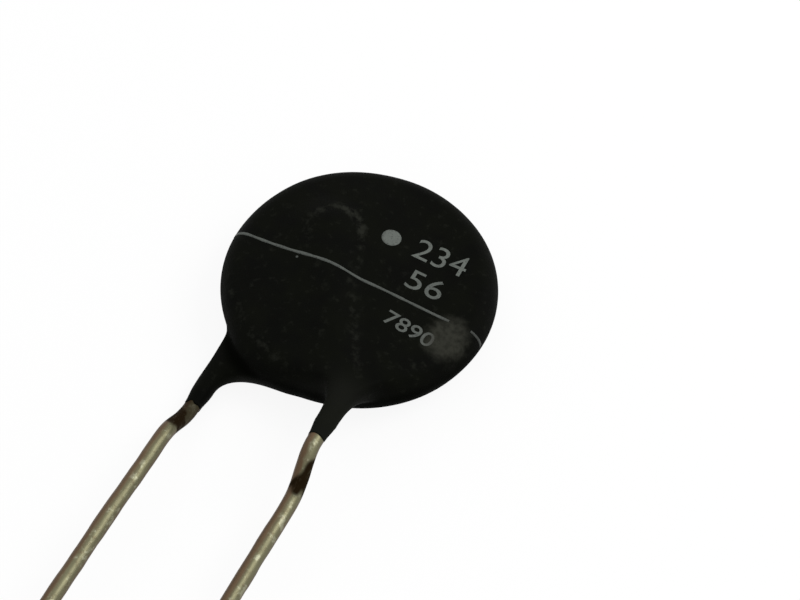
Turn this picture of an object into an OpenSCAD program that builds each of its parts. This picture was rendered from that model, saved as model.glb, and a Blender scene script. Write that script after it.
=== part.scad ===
// Disc thermistor, radial leaded: a round semiconducting ceramic between two silver electrodes,
// a tinned wire soldered across each face, and a dipped coating over everything but the wires.
// It lies on its back with its marked face up and its leads along -Y.
// The origin is under the middle of the bounding box.

/* [Ceramic disc] */
// Diameter of the ceramic
ceramic_d = 14; // [12:0.5:18]
// Thickness of the ceramic
ceramic_t = 1.6; // [1.2:0.1:2.4]
// Chamfer pressed round both edges of the ceramic
ceramic_chamfer = 0.15; // [0.05:0.05:0.3]

/* [Electrodes] */
// Bare ceramic left round each electrode
electrode_margin = 0.6; // [0.4:0.1:1.2]
// Thickness of each electrode
electrode_t = 0.02; // [0.01:0.01:0.05]

/* [Leads] */
// Diameter of the lead wire
wire_d = 0.85; // [0.6:0.05:1]
// Distance between the centre lines of the two leads
lead_pitch = 7.5; // [5:0.5:10]
// Place of the line midway between the leads, sideways from the disc's centre
lead_shift = -0.75; // [-1.5:0.05:1.5]
// Length of the leads below the coated edge of the disc
lead_reach = 25; // [12:1:40]
// Front lead where it leaves the body, sideways from the line midway between the leads
front_exit = 3.5; // [2.5:0.05:4.5]
// Back lead where it leaves the body, sideways from the line midway between the leads
back_exit = 3.75; // [2.5:0.05:4.5]
// Distance by which each buried wire tip crosses the line midway between the leads
tip_cross = 2.1; // [0.5:0.05:2.5]
// Height of the buried wire tips above the disc's centre
tip_rise = 2.5; // [1:0.1:3]
// Distance of the turn in each wire below the disc's centre
turn_drop = 7.3; // [6.5:0.1:8]
// Radius of that turn
turn_r = 1.5; // [1:0.1:2.5]
// Slope of the kink that brings each wire to the middle plane
kink_angle = 38; // [30:1:45]
// Radius of the two bends of the kink
kink_r = 1.2; // [0.8:0.1:1.4]
// Bare wire between the coating and the kink
kink_gap = 0.3; // [0.1:0.1:2]

/* [Solder] */
// Solder under the wires
solder_film = 0.03; // [0.02:0.01:0.08]
// Width of the solder fillet beside a wire, at the electrode
solder_fillet = 0.3; // [0.15:0.05:0.4]
// Share of the wire's radius that the fillet climbs
solder_climb = 0.8; // [0.5:0.05:0.9]
// Solder over the wire at the blob that holds its tip
blob_cover = 0.07; // [0.03:0.01:0.1]
// Radius of that blob on the electrode
blob_r = 1.25; // [1:0.05:1.4]
// Distance of the blob's middle from the wire's tip
blob_set = 0.55; // [0.3:0.05:0.9]
// Clearance from the end of the soldered run to the electrode's edge
run_clearance = 0.9; // [0.7:0.1:2]

/* [Coating] */
// Thickness of the coating on the marked face of the ceramic, beyond the crown
face_coat = 0.38; // [0.34:0.01:0.6]
// Thickness of the coating on the back face, beyond the crown
back_coat = 0.55; // [0.4:0.01:0.7]
// Thickness of the coating round the edge of the ceramic
edge_coat = 0.5; // [0.4:0.05:0.8]
// Width of the rounded rim, from the flat face to the widest point
rim_width = 1.1; // [0.8:0.05:1.3]
// Rise of the broad crown on the marked face, along its wire
crown_rise = 0.4; // [0.34:0.01:0.6]
// Half the width of the crown, at its foot
crown_half = 5.6; // [4.5:0.1:7]
// Height of the ridge over the front wire, above the crown
ridge_rise = 0.34; // [0.28:0.01:0.5]
// Half the width of the ridge along a wire, at its foot
ridge_half = 1.9; // [1.7:0.05:2.4]
// Half the width of the ridge over the blob, at its foot
blob_half = 2.3; // [2.1:0.05:2.8]
// Distance from the wire's tip where the blob's width starts to narrow to the ridge's
narrow_from = 1.5; // [1:0.1:2]
// Distance from the wire's tip where it has narrowed
narrow_to = 4; // [3:0.1:5]
// Shift of the ridge's crest to the left of the wire
ridge_shift = 0.45; // [0:0.05:0.5]
// Length of the coated legs below the coated edge of the disc
leg_drop = 2.7; // [1.5:0.1:4]
// Thickness of the coating on the legs
leg_coat = 0.13; // [0.1:0.01:0.3]
// Reach of the front leg's flare on the rim, to the left of the leg's centre line
front_flare_left = 1.15; // [0.9:0.05:1.6]
// Reach of that flare to the right
front_flare_right = 1.75; // [0.9:0.05:2.2]
// Reach of the back leg's flare to the left
back_flare = 0.4; // [0.3:0.05:1]
// Reach to the right of the web between the back leg and the rim
back_web = 3.6; // [1.5:0.1:4]
// Bulge of the rim where the web joins it
web_bulge = 0.5; // [0:0.05:0.7]
// Middle of that bulge, as an angle round the disc
web_place = -110; // [-120:1:-95]
// Half the angle that the bulge takes up
web_spread = 24; // [15:1:30]
// Length of the tapered end of a leg
leg_taper = 0.4; // [0.2:0.05:0.8]

/* [Hidden] */

// Smoothness of the true circles
$fn = 32;
// Divisions of the coating: rings on a face, steps from a face to the middle of the rim, columns
// between the legs and round the rest, and rings along a leg
FACE_RINGS = 11;
RIM_STEPS = 6;
BETWEEN_COLUMNS = 3;
ROUND_COLUMNS = 48;
LEG_RINGS = 8;
// Share of those steps, counted from the middle of the rim, that the root of a leg takes up
ROOT_SHARE = 2 / 3;
// A bend swells the wire by this much, and the straight run before it ends this far inside it
BEND_SWELL = 0.005;
BEND_BITE = 0.05;
// Coating left at the very end of a leg, and the lip of a solder fillet
LEG_LIP = 0.04;
FILLET_LIP = 0.04;

wire_r = wire_d / 2;
half_ceramic = ceramic_t / 2;
electrode_r = ceramic_d / 2 - electrode_margin;
electrode_top = half_ceramic + electrode_t;
wire_z = electrode_top + solder_film + wire_r;

body_r = ceramic_d / 2 + edge_coat;
front_z = half_ceramic + face_coat;
back_z = half_ceramic + back_coat;
top_rise = crown_rise + ridge_rise;
crest_z = front_z + top_rise;
leg_end = body_r + leg_drop;
leg_r = wire_r + leg_coat;
lead_end = body_r + lead_reach;

// The frame: the middle of the bounding box lies over the origin
centre_y = (lead_end - body_r) / 2;
centre_z = max(crest_z, wire_z + leg_r);

// A wire route in plan, as [tip x, exit x, lead x]
FRONT = [lead_shift - tip_cross, lead_shift + front_exit, lead_shift + lead_pitch / 2];
BACK = [lead_shift + tip_cross, lead_shift - back_exit, lead_shift - lead_pitch / 2];

// Slant of the buried wire against the leads, positive where it runs towards +X
function slant(route) = atan2(route[1] - route[0], tip_rise + turn_drop);
function turn_trim(route) = turn_r * tan(abs(slant(route)) / 2);
function slant_run(route) = norm([route[1] - route[0], tip_rise + turn_drop]) - turn_trim(route);
function leg_run(route) = leg_end - turn_drop - turn_trim(route);

// Kink: the wire moves by kink_shift in the plane that holds both its straight runs
function kink_shift(route) = norm([route[2] - route[1], wire_z]);
function kink_roll(route) = atan2(route[2] - route[1], wire_z);
function kink_run(route) = (kink_shift(route) - 2 * kink_r * (1 - cos(kink_angle))) / sin(kink_angle);
function kink_len(route) = 2 * kink_r * sin(kink_angle) + kink_run(route) * cos(kink_angle);
function tail_run(route) = lead_end - leg_end - kink_gap - kink_len(route);

// Wire: a chain of straight runs and bends, each carrying the rest of the wire on its end.
// A wire runs along +X of its own frame and bends towards +Y.
module straight(length, start = BEND_BITE, end = BEND_BITE) {
    translate([-start, 0, 0]) rotate([0, 90, 0]) cylinder(r = wire_r, h = start + length + end);
    translate([length, 0, 0]) children();
}

module bend(radius, angle) {
    mirror([0, angle < 0 ? 1 : 0, 0]) translate([0, radius, 0]) rotate([0, 0, -90])
        rotate_extrude(angle = abs(angle)) translate([radius, 0]) circle(r = wire_r + BEND_SWELL);
    translate([radius * sin(abs(angle)), sign(angle) * radius * (1 - cos(angle)), 0])
        rotate([0, 0, angle]) children();
}

module wire(route) {
    translate([route[0], tip_rise, wire_z]) rotate([0, 0, slant(route) - 90])
        straight(slant_run(route), start = 0) bend(turn_r, -slant(route))
        straight(leg_run(route) + kink_gap)
        rotate([kink_roll(route) + 90, 0, 0])
        bend(kink_r, -kink_angle) straight(kink_run(route)) bend(kink_r, kink_angle)
        straight(tail_run(route), end = 0);
}

// Solder: a fillet on both sides of the wire over the electrode, and a blob at its tip
function run_to_edge(route) =
    let (along = [sin(slant(route)), -cos(slant(route))], tip = [route[0], tip_rise],
         back = -tip * along)
    back + sqrt(back * back + electrode_r * electrode_r - tip * tip);

module solder(route) {
    foot = wire_r + solder_fillet;
    lip = wire_r + FILLET_LIP;
    climb = solder_film + solder_climb * wire_r;
    cap = wire_d + solder_film + blob_cover;
    ball_r = (blob_r * blob_r + cap * cap) / (2 * cap);
    difference() {
        translate([route[0], tip_rise, electrode_top]) rotate([0, 0, slant(route) - 90]) {
            translate([blob_set, 0, 0]) rotate([90, 0, 90])
                linear_extrude(run_to_edge(route) - blob_set - run_clearance)
                    polygon([[-foot, 0], [foot, 0], [lip, climb], [-lip, climb]]);
            translate([blob_set, 0, 0]) rotate_extrude() intersection() {
                translate([0, cap - ball_r]) circle(r = ball_r);
                square([blob_r + 1, cap]);
            }
        }
        wire(route);
    }
}

module ceramic() {
    c = ceramic_chamfer;
    r = ceramic_d / 2;
    rotate_extrude() polygon([[0, -half_ceramic], [r - c, -half_ceramic], [r, c - half_ceramic],
                              [r, half_ceramic - c], [r - c, half_ceramic], [0, half_ceramic]]);
}

module electrode() {
    translate([0, 0, half_ceramic]) cylinder(r = electrode_r, h = electrode_t);
}

// Share from 0 to 1 of the full height that the crown and the ridge add at a point of a face.
// Both follow the wire and end in a dome round its tip.
function ease(from, to, u) = let (v = min(1, max(0, (u - from) / (to - from)))) v * v * (3 - 2 * v);
function bump(u) = abs(u) < 1 ? (1 - u * u) * (1 - u * u) : 0;
function hump(route, x, y) =
    let (a = slant(route), dx = x - route[0], dy = y - tip_rise,
         along = dx * sin(a) - dy * cos(a), aside = dx * cos(a) + dy * sin(a),
         past = min(0, along - blob_set),
         half = blob_half + (ridge_half - blob_half) * ease(narrow_from, narrow_to, along))
    (crown_rise * bump(norm([past, aside]) / crown_half)
     + ridge_rise * bump(norm([past, aside + ridge_shift]) / half)) / top_rise;

// Rows of the body's surface from the front over the rim to the back, as [radius, rim angle]
flat_r = body_r - rim_width;
face_rings = round(FACE_RINGS);
rim_steps = round(RIM_STEPS);
root_cells = round(rim_steps * ROOT_SHARE);
shoulder = 90 * (1 - root_cells / rim_steps);
ROWS = concat(
    [for (k = [1 : face_rings]) [flat_r * k / face_rings, 0]],
    [for (k = [1 : 2 * rim_steps - 1])
        let (t = 90 * k / rim_steps) [flat_r + rim_width * sin(t), t]],
    [for (k = [face_rings : -1 : 1]) [flat_r * k / face_rings, 180]]);

// Left and right end of a leg's root, as angles round the body
function rim_angle(x) = -acos(x / body_r);
FRONT_SPAN = [rim_angle(FRONT[1] - front_flare_left), rim_angle(FRONT[1] + front_flare_right)];
BACK_SPAN = [rim_angle(BACK[1] - back_flare), rim_angle(BACK[1] + back_web)];

// Columns round the body: even steps across the root of each leg, between the legs and round the rest
function spread(from, to, n) = [for (i = [0 : n - 1]) from + (to - from) * i / n];
between_columns = round(BETWEEN_COLUMNS);
COLUMNS = concat(
    spread(BACK_SPAN[0], BACK_SPAN[1], root_cells),
    spread(BACK_SPAN[1], FRONT_SPAN[0], between_columns),
    spread(FRONT_SPAN[0], FRONT_SPAN[1], root_cells),
    spread(FRONT_SPAN[1], BACK_SPAN[0] + 360, round(ROUND_COLUMNS)));
BACK_ROOT = 0;
FRONT_ROOT = root_cells + between_columns;

// A point of the body: the crown and the ridge lift each face, and fade towards the middle of the rim
function surface_point(row, angle) =
    let (bulge = web_bulge * bump((angle - web_place) / web_spread) * sin(row[1]),
         x = (row[0] + bulge) * cos(angle), y = (row[0] + bulge) * sin(angle),
         front = row[1] <= 90, z = (front ? front_z : back_z) * abs(cos(row[1])),
         fade = 1 - ease(shoulder, 90, front ? row[1] : 180 - row[1]),
         lifted = z + fade * hump(front ? FRONT : BACK, x, y) * (crest_z - z))
    [x, y, front ? lifted : -lifted];

// Places in the list of points
columns = len(COLUMNS);
function at(row, column) = 1 + row * columns + (column + columns) % columns;
mid_row = face_rings - 1 + rim_steps;
back_pole = 1 + len(ROWS) * columns;

// The root of a leg is a square of cells between the shoulder and the middle of the rim.
// Its border is followed from the shoulder, and each of its points ends on the leg's round.
function border(root, side) =
    let (n = root_cells, far = mid_row - side * n)
    concat([for (i = [0 : n]) at(far, root + i)],
           [for (i = [1 : n - 1]) at(far + side * i, root + n)],
           [for (i = [n : -1 : 0]) at(mid_row, root + i)],
           [for (i = [n - 1 : -1 : 1]) at(far + side * i, root)]);

// Rings of a leg, round the wire from its turn down: the border's form fades along them, faster
// across the leg than along it
leg_rings = round(LEG_RINGS);
function round_point(route, side, r, y, k, n) =
    let (t = 135 - 360 * k / n)
    [route[1] + r * cos(t), y, side * (wire_z + r * sin(t))];
function leg_ring(points, route, side, v) =
    let (n = len(points), w = 1 - v, rest = [w * w * w, w * w, w * w * w],
         y = -turn_drop - (leg_end - leg_taper - turn_drop) * v)
    [for (k = [0 : n - 1])
        let (p = round_point(route, side, leg_r, y, k, n))
        [for (i = [0 : 2]) p[i] + (points[k][i] - p[i]) * rest[i]]];
function leg_points(points, route, side) =
    let (n = len(points))
    concat([for (i = [1 : leg_rings]) each leg_ring(points, route, side, i / leg_rings)],
           [for (k = [0 : n - 1]) round_point(route, side, wire_r + LEG_LIP, -leg_end, k, n)]);

// Two triangles for a quad, and the strips between a leg's rings with the cap at its end
function quad(a, b, c, d) = [[a, c, b], [a, d, c]];
function turned(faces, side) =
    side > 0 ? faces : [for (f = faces) [for (i = [len(f) - 1 : -1 : 0]) f[i]]];
function leg_faces(loop, first, side) =
    let (n = len(loop),
         rings = concat([loop], [for (i = [0 : leg_rings]) [for (k = [0 : n - 1]) first + i * n + k]]))
    turned(concat([for (i = [0 : leg_rings], k = [0 : n - 1])
                      let (m = (k + 1) % n)
                      each quad(rings[i][k], rings[i + 1][k], rings[i + 1][m], rings[i][m])],
                  [rings[leg_rings + 1]]), side);

function in_root(row, column) =
    (row < mid_row && row >= mid_row - root_cells
     && column >= FRONT_ROOT && column < FRONT_ROOT + root_cells)
    || (row >= mid_row && row < mid_row + root_cells
        && column >= BACK_ROOT && column < BACK_ROOT + root_cells);

// The dipped coating from outside, as one closed surface: the body with both humps, and both legs
module dipped_form() {
    body = concat([[0, 0, front_z + (crest_z - front_z) * hump(FRONT, 0, 0)]],
                  [for (row = ROWS) for (angle = COLUMNS) surface_point(row, angle)],
                  [[0, 0, -back_z - (crest_z - back_z) * hump(BACK, 0, 0)]]);
    front_loop = border(FRONT_ROOT, 1);
    back_loop = border(BACK_ROOT, -1);
    front_leg = leg_points([for (i = front_loop) body[i]], FRONT, 1);
    back_leg = leg_points([for (i = back_loop) body[i]], BACK, -1);
    last = len(ROWS) - 1;
    polyhedron(concat(body, front_leg, back_leg), concat(
        [for (j = [0 : columns - 1]) [0, at(0, j + 1), at(0, j)]],
        [for (i = [0 : last - 1], j = [0 : columns - 1]) if (!in_root(i, j))
            each quad(at(i, j), at(i + 1, j), at(i + 1, j + 1), at(i, j + 1))],
        [for (j = [0 : columns - 1]) [back_pole, at(last, j), at(last, j + 1)]],
        leg_faces(front_loop, back_pole + 1, 1),
        leg_faces(back_loop, back_pole + 1 + len(front_leg), -1)));
}

module seat() {
    translate([0, centre_y, centre_z]) children();
}

module on_back() {
    mirror([0, 0, 1]) children();
}

module coating() {
    color([0.06, 0.06, 0.055]) seat() difference() {
        dipped_form();
        ceramic();
        electrode();
        on_back() electrode();
        solder(FRONT);
        on_back() solder(BACK);
        wire(FRONT);
        on_back() wire(BACK);
    }
}

module ceramic_disc() {
    color([0.16, 0.15, 0.15]) seat() ceramic();
}

module front_electrode() {
    color([0.8, 0.8, 0.78]) seat() electrode();
}

module back_electrode() {
    color([0.8, 0.8, 0.78]) seat() on_back() electrode();
}

module front_solder() {
    color([0.62, 0.62, 0.62]) seat() solder(FRONT);
}

module back_solder() {
    color([0.62, 0.62, 0.62]) seat() on_back() solder(BACK);
}

module front_lead() {
    color([0.6, 0.58, 0.5]) seat() wire(FRONT);
}

module back_lead() {
    color([0.6, 0.58, 0.5]) seat() on_back() wire(BACK);
}

coating();
ceramic_disc();
front_electrode();
back_electrode();
front_solder();
back_solder();
front_lead();
back_lead();
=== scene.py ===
"""Looks of a round disc thermistor: the dipped black coating, the tinned leads, the marking and the
sealed core, lying on a pale floor. Sizes are in metres, and the packed model gives the frame."""

import math

import bmesh
import bpy
import numpy as np
from mathutils import Matrix, Vector


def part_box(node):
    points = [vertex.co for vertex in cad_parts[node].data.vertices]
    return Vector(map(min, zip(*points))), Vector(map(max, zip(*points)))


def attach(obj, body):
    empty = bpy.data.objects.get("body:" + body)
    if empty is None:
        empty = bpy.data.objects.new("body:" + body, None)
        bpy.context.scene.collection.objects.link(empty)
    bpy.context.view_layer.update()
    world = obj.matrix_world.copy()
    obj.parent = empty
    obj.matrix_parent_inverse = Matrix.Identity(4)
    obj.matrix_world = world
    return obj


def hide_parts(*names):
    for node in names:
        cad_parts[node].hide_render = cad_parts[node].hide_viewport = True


bl_info = {
    "name": "Disc Thermistor Looks",
    "version": (1, 0, 0),
    "blender": (4, 5, 0),
    "location": "View3D > Sidebar > Thermistor",
    "description": "Makes the surfaces and finishes of a dipped disc thermistor",
    "category": "Object",
}

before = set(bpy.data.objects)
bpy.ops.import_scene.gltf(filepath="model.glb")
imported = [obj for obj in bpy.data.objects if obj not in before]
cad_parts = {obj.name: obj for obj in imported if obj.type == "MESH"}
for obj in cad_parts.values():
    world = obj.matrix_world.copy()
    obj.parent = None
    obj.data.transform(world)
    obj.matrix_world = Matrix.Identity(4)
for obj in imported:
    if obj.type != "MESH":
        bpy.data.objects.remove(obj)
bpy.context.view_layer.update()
MM = 0.001
UP = np.array([0.0, 0.0, 1.0])
DOWN_LEAD = np.array([0.0, -1.0, 0.0])

# What the frame says: the disc's centre, and the reach of the coating and the leads
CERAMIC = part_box("ceramic_disc")
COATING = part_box("coating")
CENTRE = (CERAMIC[0] + CERAMIC[1]) / 2
CERAMIC_R = (CERAMIC[1].y - CERAMIC[0].y) / 2
HALF_CERAMIC = (CERAMIC[1].z - CERAMIC[0].z) / 2
LEG_END = CENTRE.y - COATING[0].y
LEAD_END = CENTRE.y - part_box("front_lead")[0].y
ELECTRODE_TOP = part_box("front_electrode")[1].z - CENTRE.z

# Divisions of the coating: rings on a face, degrees of rim between rows, cells across a leg's root,
# columns between the legs and round the rest, rings along a leg, and rings of its tapered end
FACE_RINGS = 52
RIM_STEP = 3
ROOT_CELLS = 20
BETWEEN_COLUMNS = 22
ROUND_COLUMNS = 344
LEG_RINGS = 52
LIP_RINGS = 10
# Divisions of a lead: length of wire between rings, and sides
WIRE_RING = 0.1 * MM
WIRE_SIDES = 48


def length(name, description, millimetres):
    """A size in metres, with its default given in millimetres."""
    return bpy.props.FloatProperty(
        name=name, description=description, default=millimetres * MM, unit="LENGTH", precision=5)


def angle(name, description, degrees):
    """An angle, with its default given in degrees."""
    return bpy.props.FloatProperty(
        name=name, description=description, default=math.radians(degrees), subtype="ANGLE")


def colour(name, description, red, green, blue):
    """A linear colour without alpha."""
    return bpy.props.FloatVectorProperty(
        name=name, description=description, default=(red, green, blue), subtype="COLOR",
        size=3, min=0, max=1)


def share(name, description, value):
    """A share from 0 to 1."""
    return bpy.props.FloatProperty(
        name=name, description=description, default=value, min=0, max=1, subtype="FACTOR")


class WireSizes(bpy.types.PropertyGroup):
    """Route of the two leads, from the buried tip to the cut end"""

    wire_d: length("Wire", "Diameter of the lead wire", 0.85)
    pitch: length("Pitch", "Distance between the two leads", 7.5)
    shift: length("Shift", "Line midway between the leads, sideways from the disc's centre", -0.75)
    front_exit: length("Front exit", "Front lead where it leaves the body, from that line", 3.5)
    back_exit: length("Back exit", "Back lead where it leaves the body, from that line", 3.75)
    tip_cross: length("Tip cross", "Distance by which a buried tip crosses that line", 2.1)
    tip_rise: length("Tip rise", "Height of the buried tips above the disc's centre", 2.5)
    turn_drop: length("Turn drop", "Turn in a wire below the disc's centre", 7.3)
    turn_r: length("Turn radius", "Radius of that turn", 1.5)
    kink_angle: angle("Kink angle", "Slope of the kink towards the middle plane", 38)
    kink_r: length("Kink radius", "Radius of the bends of the kink", 1.2)
    kink_gap: length("Kink gap", "Bare wire between the coating and the kink", 0.3)
    film: length("Solder film", "Solder between electrode and wire", 0.03)
    waver: length("Waver", "Sideways waver of the hand-bent bare wire", 0.045)
    dent: length("Dents", "Depth of the shallow dents in the wire", 0.018)


class CoatingSizes(bpy.types.PropertyGroup):
    """The dipped coating over the ceramic, the wires and the solder"""

    face_coat: length("Face coat", "Coating on the marked face, beyond the crown", 0.38)
    back_coat: length("Back coat", "Coating on the back face, beyond the crown", 0.55)
    edge_coat: length("Edge coat", "Coating round the edge of the ceramic", 0.5)
    rim_width: length("Rim", "Width of the rounded rim", 1.1)
    crown_rise: length("Crown", "Rise of the broad crown on the marked face", 0.4)
    crown_half: length("Crown half", "Half the width of the crown", 5.6)
    ridge_rise: length("Ridge", "Height of the ridge over a wire, above the crown", 0.34)
    ridge_half: length("Ridge half", "Half the width of the ridge along a wire", 1.9)
    blob_half: length("Blob half", "Half the width of the ridge over the blob", 2.3)
    blob_set: length("Blob set", "Middle of the blob from the wire's tip", 0.55)
    narrow_from: length("Narrow from", "Distance from the tip where the ridge starts to narrow", 1.5)
    narrow_to: length("Narrow to", "Distance from the tip where the ridge is narrow", 4.0)
    ridge_shift: length("Ridge shift", "Shift of the ridge's crest to the left of the wire", 0.45)
    leg_coat: length("Leg coat", "Coating on the legs", 0.13)
    front_left: length("Front flare left", "Reach of the front leg's flare to the left", 1.15)
    front_right: length("Front flare right", "Reach of the front leg's flare to the right", 1.75)
    back_left: length("Back flare left", "Reach of the back leg's flare to the left", 0.4)
    back_right: length("Web", "Reach of the back leg's web to the right", 3.6)
    web_bulge: length("Web bulge", "Bulge of the rim where the web joins it", 0.5)
    web_place: angle("Web place", "Middle of that bulge round the disc", -110)
    web_spread: angle("Web spread", "Half the angle that the bulge takes up", 24)
    leg_taper: length("Leg taper", "Length of the tapered end of a leg", 1.1)
    leg_lip: length("Leg lip", "Coating left at the very end of a leg", 0.025)
    lump: length("Lumps", "Depth of the slow unevenness that dipping leaves", 0.03)


class MarkingSizes(bpy.types.PropertyGroup):
    """Printed line, dot and plain numbers on the front face"""

    line_y: length("Line", "Height of the printed line, from the disc's centre", -0.62)
    line_width: length("Line width", "Width of the printed line", 0.16)
    ink: length("Ink", "Height of the ink above the coating", 0.012)
    bite: length("Bite", "Depth of the ink in the coating", 0.03)


class Finishes(bpy.types.PropertyGroup):
    """Colours of the thermistor"""

    black: colour("Coating", "Dipped coating", 0.0019, 0.0022, 0.0012)
    # Colour of the chalky flecks, also used for the painted highlight round the shoulder and the painted
    # sheen on the front leg
    dust_and_highlight_tone: colour("Dust", "Chalky flecks on the coating", 0.017, 0.018, 0.014)
    smudge: colour("Smudge", "Chalky smudge beside the marking", 0.028, 0.0285, 0.0225)
    ink: colour("Ink", "Printed marking", 0.108, 0.12, 0.107)
    tin: colour("Tin", "Bare tinned wire", 0.15, 0.143, 0.086)
    bright: colour("Bright tin", "Clean spots of the tinned wire", 0.34, 0.34, 0.24)
    # Tarnished colour for worn flecks on the wire, also laid as painted shade on its flanks
    tarnish_and_shade: colour("Tarnish", "Tarnish on the sides of the wire", 0.1, 0.066, 0.039)
    residue: colour("Residue", "Baked residue on the wire below the coating", 0.012, 0.0072, 0.0028)
    solder: colour("Solder", "Solder inside the coating", 0.42, 0.42, 0.4)
    silver: colour("Silver", "Fired silver electrodes", 0.72, 0.71, 0.67)
    ceramic: colour("Ceramic", "Sintered ceramic", 0.05, 0.046, 0.045)
    floor: colour("Floor", "Floor under the part", 0.9, 0.9, 0.9)


class ViewSettings(bpy.types.PropertyGroup):
    """Camera at the photograph's viewing angle, and the light"""

    azimuth: angle("Azimuth", "Camera round the disc, from the leads' side", 22.836)
    elevation: angle("Elevation", "Camera above the horizon", 54.839)
    roll: angle("Roll", "Camera about its own axis", 4.285)
    distance: length("Distance", "Camera from the disc's centre, along its axis", 80.97)
    aside: length("Aside", "Disc's centre in the picture, right of the middle", -2.172)
    above: length("Above", "Disc's centre in the picture, above the middle", 0.812)
    lens: bpy.props.FloatProperty(
        name="Lens", description="Focal length in millimetres on a 36 mm sensor", default=67.5)
    key_power: bpy.props.FloatProperty(
        name="Key", description="Power of the large soft lamp", default=0.36, unit="POWER")
    fill_power: bpy.props.FloatProperty(
        name="Fill", description="Power of the second soft lamp", default=0.05, unit="POWER")
    ambient: share("Ambient", "Level of the room's even light", 0.72)


def route(side, wires):
    """Places of a wire's tip, exit and lead, sideways from the disc's centre: front is 1, back is -1."""
    exit_gap = wires.front_exit if side > 0 else wires.back_exit
    return (wires.shift - side * wires.tip_cross, wires.shift + side * exit_gap,
            wires.shift + side * wires.pitch / 2)


def wire_height(wires):
    """Height of a buried wire's centreline above the disc's middle plane."""
    return ELECTRODE_TOP + wires.film + wires.wire_d / 2


def ease(start, end, u):
    """Rises smoothly from 0 at start to 1 at end, as 3 v squared less 2 v cubed of the way between."""
    v = np.clip((u - start) / (end - start), 0.0, 1.0)
    return v * v * (3 - 2 * v)


def waves(points, wavelength, seed, count=9):
    """A smooth random field from -1 to 1: the mean of plane waves with random directions and phases."""
    rng = np.random.default_rng(seed)
    ways = rng.normal(size=(count, 3))
    ways /= np.linalg.norm(ways, axis=1)[:, None]
    numbers = 2 * np.pi / (wavelength * rng.uniform(0.7, 1.5, count))
    phases = rng.uniform(0, 2 * np.pi, count)
    field = np.sin((points @ ways.T) * numbers + phases)
    return np.clip(field.sum(-1) / math.sqrt(count), -1, 1)


def dome(u):
    """A rounded bump over -1 to 1: (1 - u squared) squared."""
    return (1 - np.minimum(np.abs(u), 1.0) ** 2) ** 2


def beside_wire(side, x, y, coat, wires):
    """Place of a point of a face in the buried wire's own directions: the way along the wire from its
    tip, the way past the blob's middle towards the tip, and the way aside, positive to the right."""
    tip_x, exit_x, _ = route(side, wires)
    slant = math.atan2(exit_x - tip_x, wires.tip_rise + wires.turn_drop)
    dx = x - tip_x
    dy = y - wires.tip_rise
    along = dx * math.sin(slant) - dy * math.cos(slant)
    return along, np.minimum(0, along - coat.blob_set), dx * math.cos(slant) + dy * math.sin(slant)


def hump(side, x, y, coat, wires):
    """Share of the full height over a wire: the dome of the distance from the wire over the crown's
    half width, and the dome of the distance from the ridge's crest over the ridge's half width, which
    eases from the blob's to the wire's, in the ratio of the two rises."""
    along, past, aside = beside_wire(side, x, y, coat, wires)
    half = coat.blob_half + (coat.ridge_half - coat.blob_half) * ease(coat.narrow_from, coat.narrow_to, along)
    crown = dome(np.hypot(past, aside) / coat.crown_half)
    ridge = dome(np.hypot(past, aside + coat.ridge_shift) / half)
    return (coat.crown_rise * crown + coat.ridge_rise * ridge) / (coat.crown_rise + coat.ridge_rise)


def body_skin(radius, turn, rim, coat, wires):
    """Points of the dipped body and their outward directions, for a radius, an angle round the disc
    and a rim angle, which is 0 on the front face, 90 at the widest place and 180 on the back. The
    height is the half thickness times the cosine of the rim angle. The crown and the ridge lift each
    face and fade between 30 and 90 degrees of rim, and the rim bulges where the web joins it. Slow
    lumps then press the skin in along the outward direction."""
    away = np.remainder(turn - coat.web_place + np.pi, 2 * np.pi) - np.pi
    radius = radius + coat.web_bulge * dome(away / coat.web_spread) * np.sin(rim)
    x = radius * np.cos(turn)
    y = radius * np.sin(turn)
    front = np.cos(rim) >= 0
    z = np.where(front, HALF_CERAMIC + coat.face_coat, HALF_CERAMIC + coat.back_coat) * np.abs(np.cos(rim))
    fade = 1 - ease(math.radians(30), math.radians(90), np.where(front, rim, np.pi - rim))
    lift = fade * np.where(front, hump(1, x, y, coat, wires), hump(-1, x, y, coat, wires))
    crest = HALF_CERAMIC + coat.face_coat + coat.crown_rise + coat.ridge_rise
    z = np.where(front, 1, -1) * (z + lift * (crest - z))
    points = np.stack([x, y, z], -1)
    out = np.stack([np.sin(rim) * np.cos(turn), np.sin(rim) * np.sin(turn), np.cos(rim)], -1)
    press = coat.lump * (waves(points, 5.5 * MM, 3) - 1) * 0.5
    return points + out * press[..., None], out


def rim_of(radius, coat):
    """Rim angle of a point of the front face: its sine is the way past the flat face over the rim."""
    flat_r = CERAMIC_R + coat.edge_coat - coat.rim_width
    return np.arcsin(np.clip((radius - flat_r) / coat.rim_width, 0, 1))


def front_skin(x, y, coat, wires):
    """Points of the front of the body over x and y, and their outward directions."""
    radius = np.hypot(x, y)
    return body_skin(radius, np.arctan2(y, x), rim_of(radius, coat), coat, wires)


def seat(points):
    """Moves points from the disc's own frame to their place in the row frame."""
    return points + np.array(CENTRE)


def new_piece(name, points, quads, caps=(), smooth=True):
    """A closed mesh object at the origin from points, an array of quads or triangles and a few larger
    faces. An edge that isn't shared by two faces stops the script."""
    faces = [f.tolist() for f in quads] + [list(c) for c in caps]
    mesh = bpy.data.meshes.new(name)
    mesh.from_pydata(points.tolist(), [], faces)
    sides = np.zeros(len(mesh.loops), np.int64)
    mesh.loops.foreach_get("edge_index", sides)
    if (np.bincount(sides, minlength=len(mesh.edges)) != 2).any():
        raise RuntimeError(f"{name} isn't closed")
    mesh.polygons.foreach_set("use_smooth", np.full(len(mesh.polygons), smooth))
    made = bpy.data.objects.new(name, mesh)
    bpy.context.scene.collection.objects.link(made)
    return made


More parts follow.
